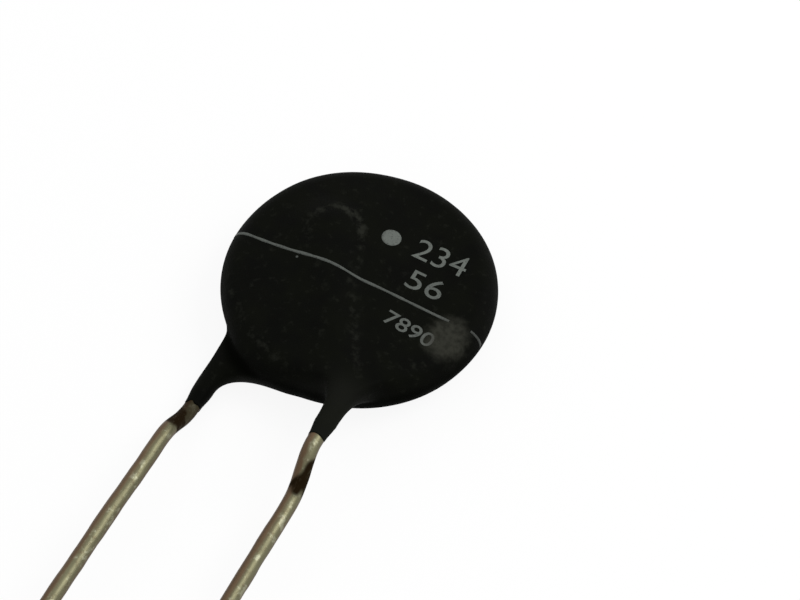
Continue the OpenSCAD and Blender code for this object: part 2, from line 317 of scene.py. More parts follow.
def add_mask(piece, name, values):
    """Keeps one number for each point of a piece, for its material to read."""
    field = piece.data.attributes.new(name, "FLOAT", "POINT")
    field.data.foreach_set("value", values.astype(np.float32))


def strips(first, second):
    """Quads between two closed loops of point numbers, or between each pair of rows of such loops."""
    return np.stack([first, second, np.roll(second, -1, -1), np.roll(first, -1, -1)], -1).reshape(-1, 4)


def relax(points, edges, weight, rounds):
    """Moves each point towards the mean of its neighbours, by its own weight, a number of times."""
    count = np.bincount(edges.ravel(), minlength=len(points))[:, None]
    for _ in range(rounds):
        total = np.zeros_like(points)
        for axis in range(3):
            total[:, axis] = (
                np.bincount(edges[:, 0], points[edges[:, 1], axis], len(points))
                + np.bincount(edges[:, 1], points[edges[:, 0], axis], len(points)))
        points = points + weight[:, None] * (total / count - points)
    return points


def leg_rings(border, side, coat, wires):
    """Rings of a leg from its root to its end. Each border point moves to its place on the leg's round,
    with what is left falling as (1 - v) cubed across the leg and squared along it, so the root
    flares, while the round runs down the wire from its turn. The last rings taper to a ragged lip."""
    count = len(border)
    exit_x = route(side, wires)[1]
    leg_r = wires.wire_d / 2 + coat.leg_coat
    turn = math.radians(135) - 2 * np.pi * np.arange(count) / count
    circle = np.stack([np.cos(turn), np.zeros(count), side * np.sin(turn)], -1)
    ragged = 0.5 + 0.5 * waves(circle * MM, 1.1 * MM, 21 + side)
    v = np.linspace(0, 1, LEG_RINGS + 1)[1:]
    rest = np.stack([(1 - v) ** 3, (1 - v) ** 2, (1 - v) ** 3], -1)[:, None, :]
    run = -wires.turn_drop - (LEG_END - coat.leg_taper - wires.turn_drop) * v
    axis = np.stack([np.full(LEG_RINGS, exit_x), run, np.full(LEG_RINGS, side * wire_height(wires))], -1)
    rounds = axis[:, None, :] + leg_r * circle
    rounds = rounds + circle * 0.02 * MM * waves(rounds, 1.6 * MM, 31 + side)[..., None]
    rings = rounds + (border - rounds) * rest
    tip = np.array([exit_x, 0, side * wire_height(wires)])
    lip_r = wires.wire_d / 2 + coat.leg_lip
    ends = []
    for step in np.linspace(0, 1, LIP_RINGS + 1)[1:]:
        ring = tip + circle * (leg_r + (lip_r - leg_r) * ease(0, 1, step))
        ring[:, 1] = -(LEG_END - coat.leg_taper) - coat.leg_taper * step * (1 - 0.18 * ragged)
        ends.append(ring)
    inside = tip + circle * wires.wire_d * 0.48
    inside[:, 1] = ring[:, 1]
    return np.concatenate([rings, np.array([*ends, inside])])


def dipped_body(coat, wires):
    """The whole coating as one closed surface: a grid of rows over the front, the rim and the back by
    columns round the disc, with a pole on each face, and a leg that grows out of a square of cells
    on the front half of the rim and another on the back half."""
    body_r = CERAMIC_R + coat.edge_coat
    flat_r = body_r - coat.rim_width
    ring = np.arange(1, FACE_RINGS + 1) / FACE_RINGS * flat_r
    rim = np.radians(np.arange(RIM_STEP, 180, RIM_STEP))
    radius = np.concatenate([ring, flat_r + coat.rim_width * np.sin(rim), ring[::-1]])
    rims = np.concatenate([np.zeros(FACE_RINGS), rim, np.full(FACE_RINGS, np.pi)])
    front_x, back_x = route(1, wires)[1], route(-1, wires)[1]
    ends = -np.arccos(np.array([
        back_x - coat.back_left, back_x + coat.back_right,
        front_x - coat.front_left, front_x + coat.front_right]) / body_r)
    counts = (ROOT_CELLS, BETWEEN_COLUMNS, ROOT_CELLS, ROUND_COLUMNS)
    turns = np.concatenate([
        np.linspace(start, end, count, endpoint=False)
        for start, end, count in zip(ends, [*ends[1:], ends[0] + 2 * np.pi], counts)])
    rows, columns = len(radius), len(turns)
    skin, _ = body_skin(radius[:, None], turns[None, :], rims[:, None] + 0 * turns, coat, wires)
    poles, _ = body_skin(np.zeros(2), np.zeros(2), np.array([0, np.pi]), coat, wires)
    points = [skin.reshape(-1, 3), poles]
    number = np.arange(rows * columns).reshape(rows, columns)
    middle = FACE_RINGS - 1 + 90 // RIM_STEP
    kept = np.ones((rows - 1, columns), bool)
    front_root = ROOT_CELLS + BETWEEN_COLUMNS
    kept[middle - ROOT_CELLS:middle, front_root:front_root + ROOT_CELLS] = False
    kept[middle:middle + ROOT_CELLS, :ROOT_CELLS] = False
    quads = [strips(number[:-1], number[1:]).reshape(rows - 1, columns, 4)[kept]]
    total = rows * columns + 2
    caps = []
    borders = []
    ages = [np.full(total, -1.0)]
    for side, root in ((1, front_root), (-1, 0)):
        shoulder = middle - side * ROOT_CELLS
        over = number[shoulder, root:root + ROOT_CELLS + 1]
        down = number[shoulder:middle:side, root + ROOT_CELLS][1:]
        under = number[middle, root:root + ROOT_CELLS + 1][::-1]
        up = number[shoulder:middle:side, root][1:][::-1]
        loop = np.concatenate([over, down, under, up])
        borders.append(skin.reshape(-1, 3)[loop])
        rings = leg_rings(borders[-1], side, coat, wires)
        numbers = np.concatenate([loop[None], total + np.arange(rings.size // 3).reshape(len(rings), -1)])
        sheath = strips(numbers[:-1], numbers[1:])
        quads.append(sheath if side > 0 else sheath[:, ::-1])
        caps.append(numbers[-1][::-side])
        points.append(rings.reshape(-1, 3))
        ages.append(np.repeat(np.linspace(0, 1, len(rings)), rings.shape[1]))
        total += rings.size // 3
    front_pole, back_pole = rows * columns, rows * columns + 1
    ring_on = np.roll(number, -1, -1)
    fans = np.concatenate([
        np.stack([np.full(columns, front_pole), number[0], ring_on[0]], -1),
        np.stack([np.full(columns, back_pole), ring_on[-1], number[-1]], -1)])
    points, quads, ages = np.concatenate(points), np.concatenate(quads), np.concatenate(ages)
    used = np.zeros(total, bool)
    used[quads] = used[front_pole:] = True
    place = np.cumsum(used) - 1
    borders = np.concatenate(borders)
    return points[used], place[quads], place[fans], [place[c] for c in caps], ages[used], borders


def near_root(points, age, borders):
    """Weight of the smoothing round the roots of the legs: full on the border of a root and on the
    first part of a leg, and none half a millimetre away on the body."""
    away = np.full(len(points), np.inf)
    for place in borders:
        away = np.minimum(away, np.linalg.norm(points - place, axis=1))
    return 0.5 * np.where(age < 0, 1 - ease(0.05 * MM, 0.55 * MM, away), 1 - ease(0.08, 0.3, age))


def chalk_and_highlight_lines(points, age, coat, wires):
    """Where chalky flecks gather: along both edges of the front ridge and round its arch, where they
    are densest on the right. The same flecks lay a painted highlight in a line round the shoulder, where
    the face turns into the rim; it dips in beside the front leg and is strongest on the lower side."""
    x, y, z = points.T / MM
    along, _, aside = (way / MM for way in beside_wire(1, x * MM, y * MM, coat, wires))
    away = np.hypot(np.minimum(0, along - 0.9), aside)
    width = 1.4 - 0.68 * ease(1.6, 5, along)
    edge = np.exp(-((away - width) / 0.42) ** 2) * (1 - 0.45 * ease(1, 2.4, along))
    edge *= 0.6 + 0.3 * ease(-0.5, 0.5, aside)
    turn = np.degrees(np.arctan2(y, x))
    # Painted highlight in a line round the shoulder, at a radius that changes with the angle round the disc
    radius = np.interp(turn, (-180, -155, -130, -105, -90, -76, -60, -50, -41, -30, 0, 60, 180),
                       (6.8, 6.93, 6.86, 6.9, 7.1, 6.3, 5.5, 6.12, 6.65, 6.6, 6.75, 6.6, 6.8))
    shoulder = np.exp(-((np.hypot(x, y) - radius) / 0.35) ** 2)
    # The painted highlight is faint above, strongest on the lower side, and gone beside the front leg
    lower = (0.12 + 0.35 * ease(-1, -4, y)) * (1 - dome((turn + 70) / 34))
    on_front = (age < 0) * ease(0.3, 0.8, z)
    return on_front * np.clip(edge + shoulder * lower, 0, 1)


def leg_painted_sheen(points, wires):
    """A thin painted sheen, in the colour of the chalky flecks, on the upper side of the front leg and the
    rim above it.
    """
    x, y, z = points.T / MM
    aside = x - route(1, wires)[1] / MM
    return 0.3 * dome(aside / 2) * ease(-5.6, -7.6, y) * ease(0.5, 1.1, z)


class THERMISTOR_OT_dip_coating(bpy.types.Operator):
    """Makes the dipped coating with its humps and legs"""

    bl_idname = "thermistor.dip_coating"
    bl_label = "Dip Coating"

    def execute(self, context):
        coat, wires = context.scene.thermistor_coating, context.scene.thermistor_wires
        points, quads, fans, caps, age, borders = dipped_body(coat, wires)
        edges = np.concatenate([quads[:, [0, 1]], quads[:, [1, 2]], fans[:, :2]])
        points = relax(points, edges, near_root(points, age, borders), 24)
        faces = [*quads, *fans]
        piece = new_piece("dipped_coating", seat(points), faces, caps)
        # Chalky flecks along the ridge, and a painted highlight round the shoulder
        add_mask(piece, "chalk_and_highlight", chalk_and_highlight_lines(points, age, coat, wires))
        # Painted sheen on the upper side of the front leg
        add_mask(piece, "painted_sheen", leg_painted_sheen(points, wires))
        # Painted shade: a deeper, less specular black towards the bottom of the body and at the start of each
        # leg
        add_mask(piece, "painted_shade", (1 - ease(-0.1, 1, points[:, 2] / MM)) * (1 - ease(0, 0.3, age)))
        piece.data.materials.append(black_coating(context.scene.thermistor_finishes))
        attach(piece, "root")
        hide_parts("coating")
        return {"FINISHED"}


def run(point, heading, distance):
    """The far end of a straight run."""
    return [point, point + heading * distance]


def turn(point, heading, new_heading, radius, steps=24):
    """Points of a bend from one heading to another: the point goes on by the sine and aside by one
    less the cosine of the angle turned, times the radius."""
    cosine = float(heading @ new_heading)
    aside = new_heading - cosine * heading
    aside /= np.linalg.norm(aside)
    swing = np.linspace(0, math.acos(cosine), steps)[:, None]
    return list(point + radius * (np.sin(swing) * heading + (1 - np.cos(swing)) * aside))


def wire_line(side, wires):
    """Centreline of a wire from its buried tip to its cut end: a slanted run over the electrode, a turn,
    a run out of the leg, and a kink to the middle plane, followed by the straight tail."""
    tip_x, exit_x, lead_x = route(side, wires)
    height = wire_height(wires)
    slant = math.atan2(exit_x - tip_x, wires.tip_rise + wires.turn_drop)
    trim = wires.turn_r * math.tan(abs(slant) / 2)
    heading = np.array([math.sin(slant), -math.cos(slant), 0])
    line = run(np.array([tip_x, wires.tip_rise, side * height]), heading,
               math.hypot(exit_x - tip_x, wires.tip_rise + wires.turn_drop) - trim)
    line += turn(line[-1], heading, DOWN_LEAD, wires.turn_r)
    line += run(line[-1], DOWN_LEAD, LEG_END - wires.turn_drop - trim + wires.kink_gap)
    aside = np.array([lead_x - exit_x, 0, -side * height])
    shift = np.linalg.norm(aside)
    sloped = math.cos(wires.kink_angle) * DOWN_LEAD + math.sin(wires.kink_angle) * aside / shift
    rest = shift - 2 * wires.kink_r * (1 - math.cos(wires.kink_angle))
    line += turn(line[-1], DOWN_LEAD, sloped, wires.kink_r)
    line += run(line[-1], sloped, rest / math.sin(wires.kink_angle))
    line += turn(line[-1], sloped, DOWN_LEAD, wires.kink_r)
    line += run(line[-1], DOWN_LEAD, LEAD_END + line[-1][1])
    return np.array(line)


def even(line, spacing):
    """The same line with points an even way apart along it."""
    gaps = np.linalg.norm(np.diff(line, axis=0), axis=1)
    line = line[np.concatenate([[True], gaps > 1e-9])]
    way = np.concatenate([[0], np.cumsum(gaps[gaps > 1e-9])])
    places = np.linspace(0, way[-1], int(way[-1] / spacing) + 1)
    return np.stack([np.interp(places, way, line[:, k]) for k in range(3)], -1), places


def bend_weights():
    """Weights of a running mean of 25 points, as a triangle, which softens the bends of the bare wire."""
    steps = 13.0 - np.abs(np.arange(-12, 13))
    return steps / steps.sum()


def wire_mesh(side, wires):
    """A round wire carried along its centreline. The bare part has softened bends and wavers a little
    sideways, its radius dips in shallow dents, and both ends have a small chamfer."""
    line, way = even(wire_line(side, wires), WIRE_RING)
    soft = ease(LEG_END - 0.1 * MM, LEG_END + 0.7 * MM, -line[:, 1])
    for axis in (0, 2):
        around = np.convolve(np.pad(line[:, axis], 12, "edge"), bend_weights(), "valid")
        line[:, axis] += soft * (around - line[:, axis])
    bare = ease(LEG_END, LEG_END + 3 * MM, -line[:, 1]) * (1 - ease(LEAD_END - 3 * MM, LEAD_END, -line[:, 1]))
    line[:, 0] += wires.waver * bare * waves(line, 9 * MM, 40 + side)
    tangent = np.gradient(line, axis=0)
    tangent /= np.linalg.norm(tangent, axis=1)[:, None]
    across = np.cross(tangent, UP)
    across /= np.linalg.norm(across, axis=1)[:, None]
    crown = np.cross(across, tangent)
    spin = 2 * np.pi * np.arange(WIRE_SIDES) / WIRE_SIDES
    ring = across[:, None] * np.cos(spin)[:, None] + crown[:, None] * np.sin(spin)[:, None]
    radius = wires.wire_d / 2
    rough = waves(line[:, None] + ring * radius, 1.7 * MM, 50 + side)
    out = ease(LEG_END - 0.5 * MM, LEG_END + 0.5 * MM, -line[:, 1])[:, None]
    around = radius + out * wires.dent * (np.minimum(rough, 0.2) - 0.2)
    chamfer = np.minimum(np.minimum(way, way[-1] - way), 0.08 * MM) - 0.08 * MM
    tube = line[:, None] + ring * (around + chamfer[:, None])[..., None]
    number = np.arange(len(line) * WIRE_SIDES).reshape(len(line), WIRE_SIDES)
    points = tube.reshape(-1, 3)
    below = np.repeat(-line[:, 1] - LEG_END, WIRE_SIDES)
    return points, strips(number[:-1], number[1:])[:, ::-1], number, below, np.tile(spin, len(line))


def baked(points, below, first, last, lean, stain):
    """Share of baked residue on a wire, between two distances in millimetres below the leg's end. Its
    start leans round the wire, both its ends are ragged, and a stain lies above it."""
    ragged = below + 0.2 * waves(points, 0.8 * MM, 70)
    crust = ease(first - 0.2, first + 0.25, ragged - lean)
    return np.maximum(crust, stain) * (1 - ease(last - 0.2, last + 0.2, ragged))


class THERMISTOR_OT_form_leads(bpy.types.Operator):
    """Makes the two tinned leads"""

    bl_idname = "thermistor.form_leads"
    bl_label = "Form Leads"

    def execute(self, context):
        wires = context.scene.thermistor_wires
        finish = tinned_wire(context.scene.thermistor_finishes)
        for side, node, first, last, lean, stain in (
                (1, "front_lead", 1.5, 2.6, 0.8, 0.0), (-1, "back_lead", 0.7, 2.0, -0.3, 0.8)):
            points, quads, number, below, spin = wire_mesh(side, wires)
            piece = new_piece(f"tinned_{node}", seat(points), quads, [number[0], number[-1][::-1]])
            add_mask(piece, "residue", baked(points, below / MM, first, last, lean * np.cos(spin), stain))
            # Lit side: near 1 on the side turned 127 degrees round the wire and on the side opposite it, near
            # 0 on the flanks, which get painted shade
            add_mask(piece, "lit_side", np.abs(np.cos(spin - math.radians(127))))
            piece.data.materials.append(finish)
            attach(piece, "root")
            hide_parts(node)
        return {"FINISHED"}


def on_skin(x, y, low, high, coat, wires):
    """Points under and over the coating's front at x and y, by the given depths."""
    skin, out = front_skin(x, y, coat, wires)
    return skin + out * low, skin + out * high


def ink_line(start, end, mark, coat, wires, seed):
    """A printed line over the face from one x to another: a closed strip that follows the skin, with
    cosine steps that crowd towards its ends, and an edge that wavers slightly."""
    u = np.linspace(0, 1, 260)
    x = start + (end - start) * (1 - np.cos(np.pi * u)) / 2
    spot = np.stack([x, 0 * x, 0 * x], -1)
    half = mark.line_width / 2 * (1 + 0.12 * waves(spot, 0.9 * MM, seed))
    half *= np.sqrt(np.clip(np.minimum(u, 1 - u) / 0.004, 0.12, 1))
    edge = mark.line_y + 0.012 * MM * waves(spot, 2.5 * MM, seed + 1)
    rails = [on_skin(x, edge + way * half, -mark.bite, mark.ink, coat, wires) for way in (-1, 1)]
    (low_near, top_near), (low_far, top_far) = rails
    loops = np.stack([top_near, top_far, low_far, low_near], 1)
    number = np.arange(loops.size // 3).reshape(-1, 4)
    quads = strips(number[:-1], number[1:])
    return loops.reshape(-1, 3), quads, [number[0][::-1], number[-1]]


def ink_dot(x, y, radius, mark, coat, wires):
    """A printed dot: rings of a disc on the skin, its edge, and the same disc under it."""
    spin = np.linspace(0, 2 * np.pi, 49)[:-1]
    share_out = np.array([0.02, 0.35, 0.7, 1.0])[:, None]
    px, py = x + radius * share_out * np.cos(spin), y + radius * share_out * np.sin(spin)
    low, top = on_skin(px, py, -mark.bite, mark.ink, coat, wires)
    rings = np.concatenate([top, low[::-1]])
    number = np.arange(rings.size // 3).reshape(len(rings), -1)
    return rings.reshape(-1, 3), strips(number[:-1], number[1:]), [number[0], number[-1][::-1]]


def ink_digits(text, x, y, width, height, tilt, weight, mark, coat, wires):
    """Plain digits as thin closed slabs laid on the skin, fitted to a width and height, with their
    lower left corner at x and y and their foot line tilted."""
    curve = bpy.data.curves.new("digits", "FONT")
    curve.body = text
    curve.extrude = 1.0
    curve.offset = weight
    curve.resolution_u = 6
    holder = bpy.data.objects.new("digits", curve)
    bpy.context.scene.collection.objects.link(holder)
    bpy.context.view_layer.update()
    mesh = bpy.data.meshes.new_from_object(holder.evaluated_get(bpy.context.evaluated_depsgraph_get()))
    local = np.zeros(len(mesh.vertices) * 3)
    mesh.vertices.foreach_get("co", local)
    local = local.reshape(-1, 3)
    faces = [list(p.vertices) for p in mesh.polygons]
    bpy.data.objects.remove(holder)
    bpy.data.curves.remove(curve)
    bpy.data.meshes.remove(mesh)
    span = np.ptp(local, axis=0)
    flat = (local[:, :2] - local[:, :2].min(0)) / span[:2] * (width, height)
    px = x + flat[:, 0] * math.cos(tilt) - flat[:, 1] * math.sin(tilt)
    py = y + flat[:, 0] * math.sin(tilt) + flat[:, 1] * math.cos(tilt)
    low, top = on_skin(px, py, -mark.bite, mark.ink, coat, wires)
    return np.where(local[:, 2:] > 0, top, low), faces


class THERMISTOR_OT_print_marking(bpy.types.Operator):
    """Prints a line, a dot and plain numbers on the front face"""

    bl_idname = "thermistor.print_marking"
    bl_label = "Print Marking"

    def execute(self, context):
        scene = context.scene
        mark, coat, wires = scene.thermistor_marking, scene.thermistor_coating, scene.thermistor_wires
        self.finish = printed_ink(scene.thermistor_finishes)
        lines = (("line_left", -7.4, 5.55, 60, 0.62), ("line_right", 6.8, 7.465, 64, 0.3))
        for name, start, end, seed, level in lines:
            points, quads, caps = ink_line(start * MM, end * MM, mark, coat, wires, seed)
            self.keep(new_piece(f"marking_{name}", seat(points), quads, caps), level)
        dots = (("dot", 0.5, 2.72, 0.54, 1.0), ("speck", -3.34, -0.9, 0.07, 0.5))
        for name, x, y, radius, level in dots:
            points, quads, caps = ink_dot(x * MM, y * MM, radius * MM, mark, coat, wires)
            self.keep(new_piece(f"marking_{name}", seat(points), quads, caps), level)
        rows = (("234", 1.92, 2.2, 3.02, 1.38, 0, -0.002, 0.95), ("56", 2.45, 0.2, 2.03, 1.3, 0, 0, 0.82),
                ("7890", 2.5, -2.45, 2.85, 0.9, -5, 0.008, 0.75))
        for text, x, y, width, height, tilt, weight, level in rows:
            points, faces = ink_digits(text, x * MM, y * MM, width * MM, height * MM,
                                       math.radians(tilt), weight, mark, coat, wires)
            self.keep(closed_slab(f"marking_{text}", seat(points), faces), level)
        return {"FINISHED"}

    def keep(self, piece, level):
        """Gives a printed piece its ink, how well it has taken, and its body."""
        add_mask(piece, "taken", np.full(len(piece.data.vertices), level))
        piece.data.materials.append(self.finish)
        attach(piece, "root")


def closed_slab(name, points, faces):
    """A mesh object from loose faces whose doubled points are merged, with its faces turned outward."""
    mesh = bpy.data.meshes.new(name)
    mesh.from_pydata(points.tolist(), [], faces)
    work = bmesh.new()
    work.from_mesh(mesh)
    bmesh.ops.remove_doubles(work, verts=work.verts, dist=0.0004 * MM)
    bmesh.ops.recalc_face_normals(work, faces=work.faces)
    if any(not e.is_manifold for e in work.edges):
        raise RuntimeError(f"{name} isn't closed")
    work.to_mesh(mesh)
    work.free()
    made = bpy.data.objects.new(name, mesh)
    bpy.context.scene.collection.objects.link(made)
    return made


def add(tree, kind, values=None, **settings):
    """A new shader node with its settings and the plain values of its sockets."""
    made = tree.nodes.new(kind)
    for name, value in settings.items():
        setattr(made, name, value)
    for socket, value in (values or {}).items():
        made.inputs[socket].default_value = value
    return made


def link(tree, source, target):
    """Joins an output socket to an input socket."""
    tree.links.new(source, target)


def maths(tree, operation, *inputs, clamp=False):
    """The result of a Math node on sockets or plain numbers."""
    made = add(tree, "ShaderNodeMath", operation=operation, use_clamp=clamp)
    for place, value in enumerate(inputs):
        if isinstance(value, (int, float)):
            made.inputs[place].default_value = value
        else:
            link(tree, value, made.inputs[place])
    return made.outputs[0]


def spread(tree, value, low, high, to_low=0.0, to_high=1.0):
    """Maps a socket's range smoothly to another."""
    made = add(tree, "ShaderNodeMapRange", {"From Min": low, "From Max": high, "To Min": to_low,
                                            "To Max": to_high}, interpolation_type="SMOOTHSTEP")
    link(tree, value, made.inputs["Value"])
    return made.outputs["Result"]


def mixed(tree, factor, first, second):
    """A colour between two colours, each a socket or a plain colour."""
    made = add(tree, "ShaderNodeMix", data_type="RGBA", clamp_factor=True)
    link(tree, factor, made.inputs["Factor"])
    for socket, value in ((made.inputs[6], first), (made.inputs[7], second)):
        if hasattr(value, "links"):
            link(tree, value, socket)
        else:
            socket.default_value = (*value, 1)
    return made.outputs[2]


def noise(tree, place, size, detail=3.0, roughness=0.55, stretch=None):
    """Value of a noise whose features are about a size in millimetres, at a place in millimetres."""
    if stretch:
        scale = add(tree, "ShaderNodeMapping", {"Scale": stretch})
        link(tree, place, scale.inputs["Vector"])
        place = scale.outputs["Vector"]
    made = add(tree, "ShaderNodeTexNoise", {"Detail": detail, "Roughness": roughness})
    link(tree, place, made.inputs["Vector"])
    if isinstance(size, (int, float)):
        made.inputs["Scale"].default_value = 1 / size
    else:
        link(tree, maths(tree, "DIVIDE", 1.0, size), made.inputs["Scale"])
    return made.outputs["Fac"]


def new_group(name, inputs, outputs):
    """A shader node group with its sockets, and its input and output nodes."""
    tree = bpy.data.node_groups.new(name, "ShaderNodeTree")
    for socket, default in inputs.items():
        kind = "NodeSocketVector" if default is None else "NodeSocketFloat"
        made = tree.interface.new_socket(socket, in_out="INPUT", socket_type=kind)
        if default is not None:
            made.default_value = default
    for socket in outputs:
        tree.interface.new_socket(socket, in_out="OUTPUT", socket_type="NodeSocketFloat")
    return tree, add(tree, "NodeGroupInput"), add(tree, "NodeGroupOutput")


def grain_group():
    """Grain: a fine noise as height, and a slow one as tone, both about sizes in millimetres."""
    tree, take, give = new_group("Grain", {"Place": None, "Size": 0.08, "Tone Size": 1.2},
                                 ["Height", "Tone"])
    link(tree, noise(tree, take.outputs["Place"], take.outputs["Size"], 4, 0.6), give.inputs["Height"])
    slow = noise(tree, take.outputs["Place"], take.outputs["Tone Size"], 2, 0.5)
    link(tree, spread(tree, slow, 0.3, 0.7), give.inputs["Tone"])
    return tree


def flecks_group():
    """Flecks: islands where a noise passes a level, which a wanted share moves down."""
    tree, take, give = new_group(
        "Flecks", {"Place": None, "Size": 0.2, "Share": 0.3, "Softness": 0.06}, ["Mask"])
    field = noise(tree, take.outputs["Place"], take.outputs["Size"], 5, 0.62)
    level = maths(tree, "MULTIPLY_ADD", take.outputs["Share"], -0.42, 0.72)
    over = maths(tree, "SUBTRACT", field, level)
    ramp = maths(tree, "DIVIDE", over, take.outputs["Softness"])
    link(tree, maths(tree, "ADD", ramp, 0.5, clamp=True), give.inputs["Mask"])
    return tree


def smudge_group():
    """Smudge: a soft patch round a place on the front face, with a cloudy edge."""
    tree, take, give = new_group("Smudge", {"Place": None}, ["Mask"])
    centre = add(tree, "ShaderNodeMapping", {"Location": (5.88, -1.68, 0)},
                 vector_type="TEXTURE")
    link(tree, take.outputs["Place"], centre.inputs["Vector"])
    parts = add(tree, "ShaderNodeSeparateXYZ")
    link(tree, centre.outputs["Vector"], parts.inputs["Vector"])
    across = maths(tree, "DIVIDE", parts.outputs["X"], 1.15)
    upward = maths(tree, "DIVIDE", parts.outputs["Y"], 1.45)
    square = maths(tree, "ADD", maths(tree, "MULTIPLY", across, across),
                   maths(tree, "MULTIPLY", upward, upward))
    away = maths(tree, "SQRT", square)
    cloud = noise(tree, take.outputs["Place"], 0.55, 4, 0.6)
    away = maths(tree, "MULTIPLY_ADD", cloud, 0.9, maths(tree, "SUBTRACT", away, 0.45))
    patch = spread(tree, away, 1.2, 0.5)
    front = add(tree, "ShaderNodeSeparateXYZ")
    link(tree, take.outputs["Place"], front.inputs["Vector"])
    link(tree, maths(tree, "MULTIPLY", patch, spread(tree, front.outputs["Z"], 0.2, 0.6)),
         give.inputs["Mask"])
    return tree


def shared(name):
    """The shared effect of that name, built the first time that a material asks for it."""
    builders = {"Grain": grain_group, "Flecks": flecks_group, "Smudge": smudge_group}
    return bpy.data.node_groups.get(name) or builders[name]()


def effect(tree, name, place, **values):
    """A shared effect placed in a material with its own values."""
    made = add(tree, "ShaderNodeGroup", node_tree=shared(name))
    link(tree, place, made.inputs["Place"])
    for socket, value in values.items():
        socket = socket.replace("_", " ")
        if isinstance(value, (int, float)):
            made.inputs[socket].default_value = value
        else:
            link(tree, value, made.inputs[socket])
    return made.outputs


def new_material(name):
    """A material with its Principled shader, and a place in millimetres from the disc's centre."""
    made = bpy.data.materials.new(name)
    made.use_nodes = True
    tree = made.node_tree
    tree.nodes.clear()
    shader = add(tree, "ShaderNodeBsdfPrincipled")
    output = add(tree, "ShaderNodeOutputMaterial")
    link(tree, shader.outputs["BSDF"], output.inputs["Surface"])
    coordinates = add(tree, "ShaderNodeTexCoord")
    place = add(tree, "ShaderNodeMapping", {"Scale": (1 / MM,) * 3, "Location": tuple(-CENTRE / MM)})
    link(tree, coordinates.outputs["Object"], place.inputs["Vector"])
    return made, tree, shader, place.outputs["Vector"]


def bump(tree, shader, height, distance, strength=1.0):
    """A bump of a distance in metres from a height socket."""
    made = add(tree, "ShaderNodeBump", {"Strength": strength, "Distance": distance})
    link(tree, height, made.inputs["Height"])
    link(tree, made.outputs["Normal"], shader.inputs["Normal"])


def mask(tree, name):
    """A number that each point of the mesh keeps."""
    return add(tree, "ShaderNodeAttribute", attribute_name=name).outputs["Fac"]


def black_coating(finishes):
    """Matt black dipped resin: fine grain, slow mottling, chalky flecks and a painted highlight where the
    mesh says that they gather, a painted sheen on the front leg, a chalky smudge, and painted shade as a
    deeper, less specular black towards the bottom where the mesh says so."""
    made, tree, shader, place = new_material("black_coating")
    grain = effect(tree, "Grain", place, Size=0.07, Tone_Size=1.6)
    smear = effect(tree, "Smudge", place)["Mask"]
    # Chalky flecks along the ridge, and a painted highlight round the shoulder, both in the colour of the
    # chalky flecks
    chalk_and_highlight = mask(tree, "chalk_and_highlight")
    dense = effect(tree, "Flecks", place, Size=0.42, Share=maths(tree, "MULTIPLY", chalk_and_highlight, 0.75),
                   Softness=0.2)["Mask"]
    sparse = effect(tree, "Flecks", place, Size=0.4, Share=0.14, Softness=0.16)["Mask"]
    dust_and_highlight = maths(tree, "MAXIMUM", maths(tree, "MULTIPLY", dense, chalk_and_highlight),
                 maths(tree, "MULTIPLY", sparse, 0.35))
    # Painted sheen on the upper side of the front leg, in the colour of the chalky flecks
    dust_and_highlight = maths(tree, "MAXIMUM", dust_and_highlight, mask(tree, "painted_sheen"))
    deep = [c * 0.5 for c in finishes.black]
    base = mixed(tree, grain["Tone"], deep, tuple(c * 1.25 for c in finishes.black))
    base = mixed(tree, dust_and_highlight, base, finishes.dust_and_highlight_tone)
    patchy = maths(tree, "MULTIPLY", smear, spread(tree, noise(tree, place, 0.3), 0.3, 0.65, 0.6, 1.0))
    base = mixed(tree, patchy, base, finishes.smudge)
    # Painted shade towards the bottom: a deeper black and a lower specular level
    painted_shade = mask(tree, "painted_shade")
    base = mixed(tree, painted_shade, base, deep)
    link(tree, base, shader.inputs["Base Color"])
    matt = spread(tree, grain["Tone"], 0, 1, 0.62, 0.72)
    rough = maths(tree, "MULTIPLY_ADD", maths(tree, "MAXIMUM", dust_and_highlight, smear), 0.2, matt)
    link(tree, rough, shader.inputs["Roughness"])
    link(tree, spread(tree, painted_shade, 0, 1, 0.03, 0.008), shader.inputs["Specular IOR Level"])
    height = maths(tree, "MULTIPLY_ADD", maths(tree, "MAXIMUM", dust_and_highlight, smear), 0.5, grain["Height"])
    bump(tree, shader, height, 0.018 * MM)
    return made


def printed_ink(finishes):
    """Pale printed ink with small gaps that show the black, dulled under the smudge."""
    made, tree, shader, place = new_material("printed_ink")
    worn = effect(tree, "Flecks", place, Size=0.09, Share=0.3, Softness=0.1)["Mask"]
    grain = effect(tree, "Grain", place, Size=0.05, Tone_Size=0.5)
    smear = effect(tree, "Smudge", place)["Mask"]
    base = mixed(tree, grain["Tone"], tuple(c * 0.82 for c in finishes.ink), finishes.ink)
    base = mixed(tree, mask(tree, "taken"), finishes.black, base)
    base = mixed(tree, maths(tree, "MULTIPLY", worn, 0.6), base, finishes.black)
    base = mixed(tree, smear, base, finishes.smudge)
    link(tree, base, shader.inputs["Base Color"])
    shader.inputs["Roughness"].default_value = 0.6
    shader.inputs["Specular IOR Level"].default_value = 0.25
    bump(tree, shader, grain["Height"], 0.004 * MM)
    return made


